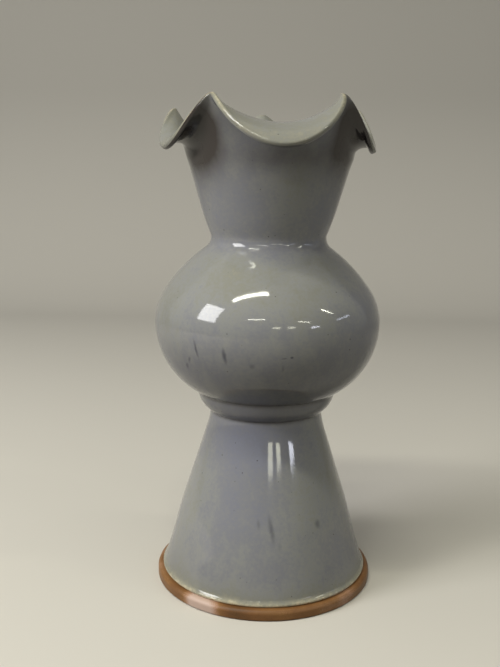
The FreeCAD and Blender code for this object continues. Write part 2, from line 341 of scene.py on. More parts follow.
# %% [markdown]
# ## The folded rim
# The neck leaves the wheel as a plain trumpet. While it is leather-hard the potter pinches five peaks into
# the rim and folds the wall between them out and down, so each lobe hangs like a petal and its lip points at
# the floor. Two lines describe it: the wall standing straight at a peak, and the wall folded over in the
# middle of a lobe. Every place in between is a blend of the two. A smooth spline surface over these control
# points gives the soft turn of clay, and moving the points half a wall out and in gives both faces and a
# rounded lip.

# %% Sizes of the neck and rim
root_radius, root_wall = 41.3 * mm, 6.0 * mm
throat_radius, throat_rise = 56.8 * mm, 50.8 * mm
# Share of the way up to the throat, and share of the widening
flare_shares = np.array([(0, 0), (0.06, 0.02), (0.17, 0.2), (0.5, 0.54)])
rim_wall, peak_wall = 4.8 * mm, 3.4 * mm
peak_radius, peak_rise = 70.5 * mm, 38.0 * mm
crest_radius, crest_rise = 65.0 * mm, 21.8 * mm
fold_half_width = 3.2 * mm
lip_radius, lip_rise = 78.0 * mm, 10.0 * mm
neck_bottom = neck_low[2]
throat_height = neck_bottom + throat_rise

# %% What the potter's hands made different, peak by peak and lobe by lobe
# Turns in degrees from the front, then one share for each peak or for the lobe that follows it
peak_turns = np.array([-31.4, 42.2, 117, 185, 257.6])
peak_count = len(peak_turns)
peak_radius_shares = np.array([1.01, 0.95, 1.01, 1, 0.99])
peak_rise_shares = np.array([1.085, 1.115, 1, 0.95, 0.96])
crest_rise_shares = np.array([1.045, 0.61, 0.75, 0.75, 0.68])
lip_radius_shares = np.array([1.175, 0.915, 0.98, 1, 0.97])
lip_rise_shares = np.array([1.095, 0.945, 1, 1.04, 1.05])
# How fast the crest, the lip's height and the lip's reach fade towards a peak, and how that leans to one side
crest_fade, lip_rise_fade, lip_reach_fade = 0.92, 1.15, 0.7
lip_rise_leans = np.array([-0.05, -0.12, 0, 0, -0.09])
lip_reach_leans = np.array([-0.17, 0.11, 0, 0, 0])
# How softly a lobe begins at its peaks, and the share of a peak's height up to which its wall stands
peak_softness, peak_stand = 0.1, 0.85
# Shares of the way in radius and in height, from the throat to the crest and from the crest to the lip
rise_shares = np.array([(0, 0), (0.25, 0.25), (0.3, 0.5), (0.5, 0.8)])
fall_shares = np.array([(0.41, 0.22), (0.83, 0.6), (1, 1)])
# Points on each line, and which of them is the crest, counted from nought
line_points, crest_point = 9, 4
inner_crest_share, lip_round = 0.6, 1.2
# Columns of control points in each lobe, and how closely they bunch at the peaks
steps_in_lobe, bunching = 16, 0.8
print("peaks at turns of", peak_turns, "degrees")


# %% The two lines of the rim
def lobe_lines():
    """Radius and height of nine points in the middle of each lobe: up to the crest, over it, and down."""
    start = np.array([throat_radius - rim_wall / 2, throat_height])
    crests = throat_height + crest_rise * crest_rise_shares
    lips = np.stack([lip_radius * lip_radius_shares, throat_height + lip_rise * lip_rise_shares], -1)
    inner, turn_in, outer = (
        np.stack([np.full(peak_count, crest_radius + fold_half_width * reach), crests], -1)
        for reach in (-1, -inner_crest_share, 1))
    rise = start + (inner - start)[:, None] * rise_shares
    fall = outer[:, None] + (lips - outer)[:, None] * fall_shares
    return np.concatenate([rise, turn_in[:, None], outer[:, None], fall], 1)


def peak_lines():
    """The same points at each peak: a gently bent line that stands up, with its last points bunched."""
    start_radius = throat_radius - rim_wall / 2
    radius = (peak_radius * peak_radius_shares)[:, None]
    rise = (peak_rise * peak_rise_shares)[:, None]
    middle = start_radius + rise * (throat_radius - root_radius) / throat_rise / 2
    standing_part = np.linspace(0, peak_stand, crest_point + 1)
    up = np.concatenate([standing_part, np.linspace(peak_stand, 1, line_points - crest_point)[1:]])
    bent = (1 - up) ** 2 * start_radius + 2 * up * (1 - up) * middle + up ** 2 * radius
    return np.stack([bent, throat_height + rise * up], -1)


def lobe_weight(along):
    """Nought at a peak and one in the middle of a lobe: half a sine wave, softened where it meets nought."""
    wave = np.hypot(np.sin(np.pi * along), peak_softness) - peak_softness
    return wave / (math.hypot(1, peak_softness) - peak_softness)


# %% Blend the lines round the rim
lobe = np.repeat(np.arange(peak_count), steps_in_lobe)
even = np.tile(np.arange(steps_in_lobe) / steps_in_lobe, peak_count)
along = even - bunching * np.sin(2 * np.pi * even) / (2 * np.pi)
span = (np.roll(peak_turns, -1) - peak_turns) % 360
turns = np.radians(peak_turns[lobe] + span[lobe] * along)
ease = (along ** 2 * (3 - 2 * along))[:, None, None]
weight = lobe_weight(along)[:, None]
# From -1 at one peak to 1 at the next
side = along * 2 - 1
past_crest = np.clip((np.arange(line_points) - crest_point) / (line_points - 1 - crest_point), 0, 1)
reach_ends = lip_reach_fade * (1 + lip_reach_leans[lobe] * side)
rise_ends = lip_rise_fade * (1 + lip_rise_leans[lobe] * side)
reach_fade = crest_fade + (reach_ends[:, None] - crest_fade) * past_crest
rise_fade = crest_fade + (rise_ends[:, None] - crest_fade) * past_crest
peaks, lobes = peak_lines(), lobe_lines()
standing = peaks[lobe] * (1 - ease) + peaks[(lobe + 1) % peak_count] * ease
mix = np.stack([weight ** reach_fade, weight ** rise_fade], -1)
rim_line = standing + mix * (lobes[lobe] - standing)
lip_radii = rim_line[:, -1, 0] / mm
print("widest and narrowest lip in mm", round(lip_radii.max()), round(lip_radii.min()))

# %% Add the flare below the rim
root_middle = root_radius - root_wall / 2
throat_middle = throat_radius - rim_wall / 2
flare = np.stack([
    root_middle + (throat_middle - root_middle) * flare_shares[:, 1],
    neck_bottom + throat_rise * flare_shares[:, 0]], -1)
middle_line = np.concatenate([np.broadcast_to(flare, (len(lobe), *flare.shape)), rim_line], 1)
middle = at_turn(middle_line[..., 0], turns[:, None], middle_line[..., 1])
print("control points round and along the wall", middle.shape[:2])

# %% Give the wall its thickness
# The wall is a hair thinner towards the lip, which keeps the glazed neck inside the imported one's box
lip_inset = 0.05 * mm
drawn_in = np.linspace(0, lip_inset, middle.shape[1])
thin = peak_wall + (rim_wall - peak_wall) * lobe_weight(along)
flare_walls = root_wall + (rim_wall - root_wall) * flare_shares[:, 0]
rim_walls = rim_wall + (thin - rim_wall)[:, None] * np.linspace(0, 1, line_points)
walls = np.concatenate([np.broadcast_to(flare_walls, (len(lobe), len(flare_walls))), rim_walls], 1)
half_wall = walls / 2 - drawn_in


def unit(arrows):
    """Each vector divided by its own length."""
    return arrows / np.linalg.norm(arrows, axis=-1, keepdims=True)


around = np.roll(middle, -1, 0) - np.roll(middle, 1, 0)
ends = np.concatenate([middle[:, :1], middle, middle[:, -1:]], 1)
out = unit(np.cross(around, ends[:, 2:] - ends[:, :-2]))
out[:, 0] = unit(middle[:, 0] * [1, 1, 0])
outer_poles = middle + out * half_wall[..., None]
inner_poles = middle - out * half_wall[..., None]
lip = unit(middle[:, -1] - middle[:, -2]) * (half_wall[:, -1] * lip_round)[:, None]
over_lip = np.stack([outer_poles[:, -1] + lip, inner_poles[:, -1] + lip], 1)
poles = np.concatenate([outer_poles, over_lip, inner_poles[:, ::-1]], 1)
print("control points of the whole skin", poles.shape[:2])


# %% The weights of a spline surface
def clamped_weights(count, places):
    """Cubic weights with clamped ends: each is a blend of two neighbouring weights of the degree below."""
    knots = np.concatenate([np.zeros(3), np.linspace(0, 1, count - 2), np.ones(3)])
    places = np.clip(places, 0, 1 - 1e-12)[:, None]
    weights = ((knots[:-1] <= places) & (places < knots[1:])).astype(float)
    for degree in (1, 2, 3):
        left, right = knots[:-degree - 1], knots[degree + 1:]
        rise = knots[degree:-1] - left
        fall = right - knots[1:-degree]
        up = np.where(rise > 0, (places - left) / np.where(rise > 0, rise, 1), 0)
        down = np.where(fall > 0, (right - places) / np.where(fall > 0, fall, 1), 0)
        weights = up * weights[:, :-1] + down * weights[:, 1:]
    return weights


def ring_weights(count, per_step):
    """The cubic weights of a closed ring: the same four numbers, shifted on from step to step."""
    share = np.arange(per_step) / per_step
    four = np.stack([
        (1 - share) ** 3, 3 * share ** 3 - 6 * share ** 2 + 4,
        -3 * share ** 3 + 3 * share ** 2 + 3 * share + 1, share ** 3], -1) / 6
    weights = np.zeros((count, per_step, count))
    step = np.arange(count)
    for shift in range(4):
        weights[step, :, (step + shift - 1) % count] += four[:, shift]
    return weights.reshape(-1, count)


# %% Make the neck
columns_per_pole, skin_rows, seat_rows = 5, 239, 4
round_weights = ring_weights(len(poles), columns_per_pole)
line_weights = clamped_weights(poles.shape[1], np.linspace(0, 1, skin_rows))
skin = np.einsum("ap,pqk,bq->bak", round_weights, poles, line_weights)
# The skin ends on the inside of the neck's foot, and a flat seat leads back to the outside, where it began
seat = skin[-1] + (skin[0] - skin[-1]) * np.linspace(0, 1, seat_rows)[:, None, None]
neck_grid = np.concatenate([skin, seat * [1, 1, 0] + [0, 0, under_neck]])
glazed_neck = mesh_from_grid("glazed_neck", neck_grid)
print("neck reaches", np.round(skin.reshape(-1, 3).max(0) / mm, 2))
print("the frame's neck reaches", np.round(neck_high / mm, 2))

# %% [markdown]
# ## The bare foot ring
# The ring under the pedestal was turned and left bare, because glaze there would stick to the kiln shelf. It
# has a rounded outer shoulder and crisp lower edges just taken off. Fine turning lines run round it.

# %% Make the foot ring
ring_radius, ring_top = ring_high[0], ring_high[2]
ring_width = 14.5 * mm
shoulder_round, shoulder_points = 3.0 * mm, 10
edge_break = 0.8 * mm
ring_side_step, ring_top_step = 0.8 * mm, 2 * mm
ring_inner = ring_radius - ring_width
quarter = np.linspace(0, np.pi / 2, shoulder_points)
ring_shoulder = np.stack([
    ring_radius - shoulder_round + shoulder_round * np.cos(quarter),
    ring_top - shoulder_round + shoulder_round * np.sin(quarter)], -1)
ring_foot = np.array([
    (ring_inner + edge_break, 0), (ring_radius - edge_break, 0), (ring_radius, edge_break)])
ring_back = np.array([(ring_inner, ring_top), (ring_inner, edge_break), (ring_inner + edge_break, 0)])
ring_loop = chain(
    ring_foot, straight_line(ring_foot[-1], ring_shoulder[0], ring_side_step), ring_shoulder,
    straight_line(ring_shoulder[-1], ring_back[0], ring_top_step), ring_back)[:-1]
bare_foot_ring = mesh_from_grid("bare_foot_ring", turned(ring_loop, round_columns), sharp_over=50)

# %% [markdown]
# ## How thick the glaze lies
# A stoneware glaze changes colour with its thickness: it is rusty where the clay shows through, cream and
# olive where it runs thin over an edge, and lavender to milky blue where it lies thick. So the finish starts
# from one number for each point, the depth of the glaze in millimetres. It is a base depth, with bell-shaped
# patches added or taken away, and it is drawn to a thin film along each edge. Numpy works it out for all
# points at once, and the mesh carries it.

# %% Write a number on each point
def bell(distance, reach):
    """One at no distance and nearly nought at twice the reach: e to the minus square of their ratio."""
    return np.exp(-(distance / reach) ** 2)


def write_number(piece, name, values):
    """Keep one number for each point of a piece, where its materials can read it."""
    attribute = piece.data.attributes.new(name, "FLOAT", "POINT")
    attribute.data.foreach_set("value", np.asarray(values, np.float32))
    print(piece.name, name, "from", round(float(values.min()), 2), "to", round(float(values.max()), 2))


# %% Patches where the glaze ran thinner or thicker
# Turn in degrees, height, reach round and reach up in mm, and millimetres of glaze added
glaze_patches = np.array([
    (-20, 236, 22, 16, -0.24), (38, 238, 20, 15, -0.28), (8, 216, 34, 16, -0.2), (-62, 215, 30, 40, -0.24),
    (4, 250, 60, 7, 0.16), (62, 200, 30, 30, 0.1), (105, 232, 26, 18, -0.3), (160, 226, 30, 20, -0.26),
    (215, 240, 26, 16, -0.34), (262, 208, 30, 26, -0.2), (18, 290, 16, 26, -0.24), (-28, 275, 22, 30, 0.12),
    (58, 270, 22, 24, 0.14), (140, 285, 20, 30, -0.2), (230, 290, 22, 24, -0.22), (-62, 62, 26, 52, -0.16),
    (26, 62, 22, 40, -0.18), (-14, 82, 24, 44, 0.14), (-8, 112, 40, 18, 0.2), (75, 90, 26, 44, -0.16),
    (130, 60, 34, 40, -0.28), (185, 90, 34, 40, 0.1), (240, 55, 34, 34, -0.26)])


def patchy(points, patches):
    """Sum of bell-shaped patches, with the way round the vase measured along its skin."""
    turn = np.degrees(np.arctan2(points[:, 0], -points[:, 1]))[:, None]
    radius = np.hypot(points[:, 0], points[:, 1])[:, None]
    centre, height, reach_round, reach_up, amount = patches.T
    apart = np.radians((turn - centre + 180) % 360 - 180) * radius / mm
    above = points[:, 2:] / mm - height
    return (amount * np.exp(-(apart / reach_round) ** 2 - (above / reach_up) ** 2)).sum(1)


# %% Depth of the glaze on every section
base_depth = 1.0
edge_depth, edge_reach = 0.25, 2.0 * mm
foot_edge_reach = 3.8 * mm
foot_dip, foot_reach = 0.34, 11 * mm
lobe_dip, lobe_reach = 0.24, 24 * mm
inside_dip = 0.12
# Share of the full thinning at the lowest lips; the highest ones have all of it
least_thinning = 0.1

for piece in turned_pieces:
    points = vectors(piece.data.vertices, "co")
    above_foot = points[:, 2] - glaze_end
    depth = base_depth + patchy(points, glaze_patches) - foot_dip * bell(above_foot, foot_reach)
    depth += (edge_depth - depth) * bell(above_foot, foot_edge_reach)
    write_number(piece, "glaze_depth", depth)

walked = np.cumsum(np.linalg.norm(np.diff(neck_grid, axis=0, prepend=neck_grid[:1]), axis=-1), 0)
lip_row = len(skin) // 2
from_lip = np.abs(walked - walked[lip_row]).reshape(-1)
within = np.repeat(np.arange(len(neck_grid)) > lip_row, neck_grid.shape[1])
points = vectors(glazed_neck.data.vertices, "co")
depth = base_depth + np.where(within, -inside_dip, patchy(points, glaze_patches))
depth -= lobe_dip * np.where(within, bell(from_lip, lobe_reach), 0)
lip_rises = neck_grid[lip_row, :, 2] - neck_grid[lip_row, :, 2].min()
run_thin = np.tile(least_thinning + (1 - least_thinning) * lip_rises / lip_rises.max(), len(neck_grid))
depth += (edge_depth - depth) * bell(from_lip, edge_reach) * run_thin
write_number(glazed_neck, "glaze_depth", depth)

# %% Painted shade: under the belly, in the creases, towards the foot and under the folded lobes
low_belly, underside_shade, underside_reach = 172 * mm, 0.26, 18 * mm
foot_shade, foot_shade_reach = 0.24, 26 * mm
crease_shade, crease_reach = 0.5, 1.6 * mm
# The same columns, with the strength of the painted shade under the lobes for the last; its brown is partly
# real iron
lobe_shade_patches = np.array([
    (-37, 332, 9, 18, 1.1), (-48, 322, 15, 20, 1.1), (-64, 315, 24, 18, 1.1), (-84, 322, 26, 18, 0.7),
    (49, 332, 9, 18, 1.1), (60, 322, 17, 20, 1.1), (78, 317, 24, 18, 1.0), (96, 324, 26, 18, 0.6),
    (14, 310, 36, 10, 0.7), (150, 320, 30, 20, 0.7), (222, 320, 30, 20, 0.7)])
# Painted shade: darker under the belly, in the two creases and towards the foot
for piece in turned_pieces:
    height = vectors(piece.data.vertices, "co")[:, 2]
    underside = underside_shade * bell(np.maximum(height - low_belly, 0), underside_reach) * (height > waist)
    creases = bell(height - waist, crease_reach) + bell(height - under_belly, crease_reach)
    above_foot = height - glaze_end
    at_foot = foot_shade * bell(above_foot, foot_shade_reach) * (1 - bell(above_foot, foot_edge_reach))
    write_number(piece, "painted_shade", underside + crease_shade * creases + at_foot)
# Painted shade under the folded lobes, with a little real brown of iron
write_number(glazed_neck, "painted_shade", np.where(within, 0, patchy(points, lobe_shade_patches)))

# %% Where the flame flashed the bare ring, and a painted sheen of the window at its front left
# The same columns, with how much paler the clay is for the last
flash_and_sheen_patches = np.array([
    (-33, 4, 14, 9, 0.62), (46, 3, 14, 6, 0.26), (160, 4, 30, 9, 0.3), (235, 4, 18, 9, 0.24)])
ring_points = vectors(bare_foot_ring.data.vertices, "co")
write_number(bare_foot_ring, "flash_and_painted_sheen", patchy(ring_points, flash_and_sheen_patches))

# %% [markdown]
# ## Colours and a helper for nodes
# Colours are given as hex values, as a screen shows them. The renderer works in linear light, so one function
# converts them. Another adds a shader node with its settings and links in one line, which keeps the materials
# short.

# %% Colour and node helpers
def linear(hex_value):
    """sRGB hex to linear light with the standard's two-part curve, plus full opacity."""
    channels = np.array([int(hex_value[place:place + 2], 16) for place in (1, 3, 5)]) / 255
    light = np.where(channels <= 0.04045, channels / 12.92, ((channels + 0.055) / 1.055) ** 2.4)
    return (*light, 1.0)


def add(tree, kind, settings=None, **inputs):
    """A new node: settings are its own properties, and each input is a value or another node's output."""
    node = tree.nodes.new(kind)
    for name, value in (settings or {}).items():
        setattr(node, name, value)
    for name, value in inputs.items():
        socket = node.inputs[int(name[1:])] if name[1:].isdigit() else node.inputs[name.replace("_", " ")]
        if isinstance(value, bpy.types.NodeSocket):
            tree.links.new(value, socket)
        else:
            socket.default_value = value
    return node


def swayed(tree, value, noise, amount):
    """A value moved up and down by a noise whose middle is a half: value + amount * noise - amount / 2."""
    sway = add(tree, "ShaderNodeMath", {"operation": "MULTIPLY_ADD"},
               _0=noise.outputs[0], _1=amount, _2=-amount / 2)
    return add(tree, "ShaderNodeMath", {"operation": "ADD"}, _0=value, _1=sway.outputs[0]).outputs[0]


def fill_ramp(node, stops):
    """Give a colour ramp its stops, each a position from 0 to 1 and a hex colour."""
    elements = node.color_ramp.elements
    while len(elements) < len(stops):
        elements.new(0.5)
    for element, (position, colour) in zip(elements, stops):
        element.position = position
        element.color = linear(colour)


def set_surface(tree, output, **look):
    """A principled shader with the given look, joined to the material's output."""
    shader = add(tree, "ShaderNodeBsdfPrincipled", **look)
    tree.links.new(shader.outputs[0], output.inputs["Surface"])


def new_material(name):
    """A node material with its output and the piece's own coordinates."""
    material = bpy.data.materials.new(name)
    material.use_nodes = True
    tree = material.node_tree
    tree.nodes.clear()
    output = tree.nodes.new("ShaderNodeOutputMaterial")
    return material, tree, output, add(tree, "ShaderNodeTexCoord").outputs["Object"]


# %% [markdown]
# ## The glaze
# The real surface is a feldspar glaze with a little iron and wood ash, poured on and fired to about 1280 C.
# It melts to a thick glass full of tiny bubbles, which scatter blue light and give the lavender tint. The eye
# sees a soft mottle a few millimetres across, larger drifts of olive, sharp mirror-like highlights with
# slightly pebbled edges, and small dark marks where iron grains in the clay bled through. A noise's scale is
# one over the size of its features in metres.

# %% The glaze's colours by depth
# Each colour's place is a share of the deepest glaze, in millimetres
deepest = 1.5
glaze_stops = [
    (0.0, "#6e4a2c"), (0.08, "#a08258"), (0.15, "#cdc2a4"), (0.27, "#a09c8a"), (0.43, "#908f85"),
    (0.58, "#949491"), (0.7, "#8b8b8f"), (0.85, "#858691"), (1.0, "#898b98")]
# Dark brown for the painted shade and for the real iron specks
shade_and_speck_colour = "#332a26"
mark_colour = "#44454f"

# Turn in degrees, height, half width and half length in mm, lean in degrees, and how strong the mark is
iron_marks = [
    (-35.2, 185.3, 0.9, 5.4, -11, 0.75), (-19.8, 182.8, 1.2, 4.8, -8, 0.85),
    (-40.6, 177.0, 1.0, 2.2, 30, 0.6), (-43.6, 171.8, 1.1, 2.0, 20, 0.6), (-6.8, 176.9, 1.6, 1.6, 0, 0.45),
    (11.7, 183.6, 0.9, 0.7, 0, 1.0), (8.2, 183.0, 1.5, 0.5, 0, 0.6), (7.8, 175.9, 0.8, 2.2, 0, 0.35),
    (-3.4, 61.6, 1.1, 2.9, -8, 0.3), (4.9, 58.2, 1.5, 8.0, -10, 0.5), (37.6, 58.0, 2.1, 2.6, 0, 0.5),
    (10.1, 46.4, 1.2, 3.0, 0, 0.12), (128, 196.0, 1.1, 4.6, 6, 0.7), (196, 182.0, 1.3, 3.4, -9, 0.7),
    (150, 70.0, 1.2, 6.0, 5, 0.6)]
print("colours", len(glaze_stops), "iron marks", len(iron_marks))


# %% Iron marks bled down the glaze
def marks_mask(tree, place):
    """How dark the marks are at a point. Each fades with the distance from its centre, in its own half widths
    and lengths. A noise first moves the point, by half the push on average, which frays the marks' edges."""
    fray_size, push = 3 * mm, 1.6 * mm
    reach_inwards = 8 * mm
    faded_at, darkest_at = 1.7, 0.1
    wobble = add(tree, "ShaderNodeTexNoise", Vector=place, Scale=1 / fray_size, Detail=2.0)
    pushed = add(tree, "ShaderNodeVectorMath", {"operation": "MULTIPLY_ADD"},
                 _0=wobble.outputs["Color"], _1=(push,) * 3, _2=place)
    darkest = 0.0
    for turn, height, half_width, half_length, lean, strength in iron_marks:
        radius = np.interp(height * mm, whole[:, 1], whole[:, 0])
        turn = math.radians(turn)
        centre = at_turn(radius, turn, height * mm) + push / 2
        scaled = add(tree, "ShaderNodeMapping", {"vector_type": "TEXTURE"}, Vector=pushed.outputs[0],
                     Location=tuple(centre), Rotation=(0, math.radians(lean), turn),
                     Scale=(half_width * mm, reach_inwards, half_length * mm))
        far = add(tree, "ShaderNodeVectorMath", {"operation": "LENGTH"}, _0=scaled.outputs[0])
        dark = add(tree, "ShaderNodeMapRange", {"interpolation_type": "SMOOTHSTEP"},
                   Value=far.outputs["Value"], From_Min=faded_at, From_Max=darkest_at, To_Max=strength)
        darker = add(tree, "ShaderNodeMath", {"operation": "MAXIMUM"}, _0=dark.outputs[0], _1=darkest)
        darkest = darker.outputs[0]
    return darkest


# %% Fired glaze
def make_glaze(name):
    """Colour from the depth of the glaze with noise at three sizes, then painted shade, marks and specks on
    top.
    """
    material, tree, output, place = new_material(name)
    drift_size, cloud_size, mottle_size = 38 * mm, 9 * mm, 2.4 * mm
    drift_swing, cloud_swing, mottle_swing = 0.42, 0.38, 0.5
    # The glaze ran downwards, so drifts and clouds are drawn out in height
    run_down = 0.6
    stretched = add(tree, "ShaderNodeMapping", Vector=place, Scale=(1, 1, run_down))
    drift = add(tree, "ShaderNodeTexNoise", Vector=stretched.outputs[0], Scale=1 / drift_size, Detail=2.0)
    cloud = add(tree, "ShaderNodeTexNoise", Vector=stretched.outputs[0], Scale=1 / cloud_size, Detail=3.0)
    mottle = add(tree, "ShaderNodeTexNoise", Vector=place, Scale=1 / mottle_size, Detail=3.0, Roughness=0.6)
    depth = add(tree, "ShaderNodeAttribute", {"attribute_name": "glaze_depth"}).outputs["Fac"]
    for noise, amount in ((drift, drift_swing), (cloud, cloud_swing), (mottle, mottle_swing)):
        depth = swayed(tree, depth, noise, amount)
    share = add(tree, "ShaderNodeMath", {"operation": "DIVIDE"}, _0=depth, _1=deepest)
    colours = add(tree, "ShaderNodeValToRGB", Fac=share.outputs[0])
    fill_ramp(colours, glaze_stops)

    # Painted shade under the belly, in the creases, towards the foot and under the lobes, broken up by the
    # clouds
    shade_layer = add(tree, "ShaderNodeAttribute", {"attribute_name": "painted_shade"})
    patches = add(tree, "ShaderNodeMapRange", Value=cloud.outputs[0], From_Min=0.2, From_Max=0.8, To_Min=0.7)
    patchy_shade = add(tree, "ShaderNodeMath", {"operation": "MULTIPLY"},
                       _0=shade_layer.outputs["Fac"], _1=patches.outputs[0])

    # One cell in a few has a speck of iron in its middle
    speck_spacing = 5 * mm
    cells = add(tree, "ShaderNodeTexVoronoi", Vector=place, Scale=1 / speck_spacing)
    lot = add(tree, "ShaderNodeSeparateColor", Color=cells.outputs["Color"])
    chosen = add(tree, "ShaderNodeMapRange", Value=lot.outputs[0], From_Min=0.7, From_Max=0.95)
    near = add(tree, "ShaderNodeMapRange", Value=cells.outputs["Distance"], From_Min=0.1, From_Max=0.05)
    speck = add(tree, "ShaderNodeMath", {"operation": "MULTIPLY"}, _0=chosen.outputs[0], _1=near.outputs[0])
    colour = colours.outputs[0]
    for cover, over in ((patchy_shade.outputs[0], shade_and_speck_colour), (marks_mask(tree, place), mark_colour),
                        (speck.outputs[0], shade_and_speck_colour)):
        mix = add(tree, "ShaderNodeMix", {"data_type": "RGBA"}, _0=cover, _6=colour, _7=linear(over))
        colour = mix.outputs[2]

    # Low swells and a fine pebbling break up the edges of the mirror images
    pebble_size, pebble_rise = 1.3 * mm, 0.004 * mm
    swell_size, swell_rise = 11 * mm, 0.018 * mm
    pebble = add(tree, "ShaderNodeTexNoise", Vector=place, Scale=1 / pebble_size, Detail=1.0)
    swell = add(tree, "ShaderNodeTexNoise", Vector=place, Scale=1 / swell_size, Detail=1.0)
    rolling = add(tree, "ShaderNodeBump", Strength=1.0, Distance=swell_rise, Height=swell.outputs[0])
    pebbled = add(tree, "ShaderNodeBump", Strength=1.0, Distance=pebble_rise, Height=pebble.outputs[0],
                  Normal=rolling.outputs[0])
    gloss = add(tree, "ShaderNodeMapRange", Value=cloud.outputs[0], To_Min=0.04, To_Max=0.1)
    set_surface(tree, output, Base_Color=colour, IOR=1.5, Roughness=gloss.outputs[0],
                Normal=pebbled.outputs[0])
    return material


body_glaze = make_glaze("poured_ash_glaze_on_stoneware")
neck_glaze = make_glaze("poured_ash_glaze_broken_over_a_rim")
print("nodes in the glaze", len(body_glaze.node_tree.nodes))

# %% [markdown]
# ## Bare clay
# The foot ring and the inside of the pedestal are iron-rich stoneware without glaze. In the kiln the surface
# flashes from orange to a paler pink where the flame touches it, and it stays satin because the clay body
# only begins to melt. A turning tool leaves fine lines round the ring, about 0.5 mm apart, which are drawn
# here as noise on radius and height alone, so that it can't change along the turn. The joining slip is the
# same stuff, darker and quite matt.

# %% Turned stoneware
def make_bare_clay(name, stops, roughness):
    """Colour from a broad noise plus the flashes and painted sheen, moved a little by grain and by turning
    lines.
    """
    material, tree, output, place = new_material(name)
    axes = add(tree, "ShaderNodeSeparateXYZ", Vector=place)
    flat = add(tree, "ShaderNodeCombineXYZ", X=axes.outputs["X"], Y=axes.outputs["Y"])
    radius = add(tree, "ShaderNodeVectorMath", {"operation": "LENGTH"}, _0=flat.outputs[0])
    rings = add(tree, "ShaderNodeCombineXYZ", X=radius.outputs["Value"], Y=axes.outputs["Z"])
    line_spacing, flash_size, grain_size = 0.5 * mm, 34 * mm, 0.6 * mm
    line_swing, grain_swing = 0.25, 0.35
    line_rise, grain_rise = 0.05 * mm, 0.03 * mm
    lines = add(tree, "ShaderNodeTexNoise", Vector=rings.outputs[0], Scale=1 / line_spacing, Detail=2.0)
    flash = add(tree, "ShaderNodeTexNoise", Vector=place, Scale=1 / flash_size, Detail=3.0)
    grain = add(tree, "ShaderNodeTexNoise", Vector=place, Scale=1 / grain_size, Detail=2.0)
    grainy = swayed(tree, flash.outputs[0], grain, grain_swing)
    flash_and_sheen = add(tree, "ShaderNodeAttribute", {"attribute_name": "flash_and_painted_sheen"})
    tone = add(tree, "ShaderNodeMath", {"operation": "ADD"}, _0=grainy, _1=flash_and_sheen.outputs["Fac"])
    colours = add(tree, "ShaderNodeValToRGB", Fac=swayed(tree, tone.outputs[0], lines, line_swing))
    fill_ramp(colours, stops)
    scored = add(tree, "ShaderNodeBump", Strength=1.0, Distance=line_rise, Height=lines.outputs[0])
    gritty = add(tree, "ShaderNodeBump", Strength=1.0, Distance=grain_rise, Height=grain.outputs[0],
                 Normal=scored.outputs[0])
    set_surface(tree, output, Base_Color=colours.outputs[0], IOR=1.42, Roughness=roughness,
                Normal=gritty.outputs[0])
    return material


clay_stops = [(0.3, "#5f4124"), (0.45, "#79522e"), (0.6, "#8a6238"), (0.74, "#ad8468"), (0.9, "#cbb0a0")]
slip_stops = [(0.3, "#4a382b"), (0.7, "#6b5341")]
bare_clay = make_bare_clay("bare_turned_iron_stoneware", clay_stops, 0.45)
fired_slip = make_bare_clay("fired_joining_slip", slip_stops, 0.85)
print("nodes in the bare clay", len(bare_clay.node_tree.nodes))

# %% Dress the pieces
for piece, slot_name, material, nodes in (
        (glazed_pedestal, "glaze", body_glaze, ("pedestal",)),
        (glazed_collar, "glaze", body_glaze, ("collar", "waist_slip")),
        (glazed_belly, "glaze", body_glaze, ("belly", "belly_slip")),
        (glazed_neck, "rim_glaze", neck_glaze, ("neck", "neck_slip")),
        (bare_foot_ring, "bare_stoneware", bare_clay, ("foot_ring",))):
    piece.data.materials.append(material)
    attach(piece, "root")
    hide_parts(*nodes)
    print(piece.name, "wears", material.name, "in place of", " and ".join(nodes))
foot_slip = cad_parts["foot_slip"]
foot_slip.data.materials.clear()
foot_slip.data.materials.append(fired_slip)

# %% Leave the inside of the foot bare
glaze_edge = 2.5 * mm
for piece in turned_pieces:
    centres = vectors(piece.data.polygons, "center")
    skin_radius = np.interp(centres[:, 2], whole[:, 1], whole[:, 0])
    within_skin = np.hypot(centres[:, 0], centres[:, 1]) < skin_radius - glaze_edge
    bare = within_skin & (centres[:, 2] < under_belly + slip)
    piece.data.materials.append(bare_clay)
    piece.data.polygons.foreach_set("material_index", bare.astype(np.int32))
    print(piece.name, "bare faces", int(bare.sum()))

# %% [markdown]
# ## Stage, light and camera
# The vase stands on a plain pale paper sweep. A soft window at the left is the main light. Two rows of
# ceiling tubes and a few far panes are small, but a glossy glaze mirrors them, and those sharp reflections
# tell the eye that the surface is wet-looking glass. The lamps are hidden from the camera itself. Paper and
# room are pale to the camera and in mirror images. To rays that carry diffuse light both are much darker,
# which keeps the vase's shaded side deep. Lengths here are in metres.

# %% Floor and backdrop
def stage_sweep():
    """A floor that bends up into a backdrop through a quarter circle."""
    bend, back, front, half_width, top = 0.5, 1.6, -3.0, 3.0, 3.0
    bend_points = 24
    turn = np.linspace(0, np.pi / 2, bend_points)
    arc = np.stack([back - bend + bend * np.sin(turn), bend - bend * np.cos(turn)], -1)
    line = np.concatenate([[[front, 0]], arc, [[back, top]]])
    across = np.broadcast_to([-half_width, half_width], (len(line), 2))
    points = np.stack([
        across, np.broadcast_to(line[:, :1], across.shape), np.broadcast_to(line[:, 1:], across.shape)], -1)
    corner = np.arange(len(line) - 1) * 2
    mesh = bpy.data.meshes.new("floor")
    faces = np.stack([corner, corner + 1, corner + 3, corner + 2], -1).tolist()
    mesh.from_pydata(points.reshape(-1, 3), [], faces)
    mesh.shade_smooth()
    return new_object("floor", mesh)


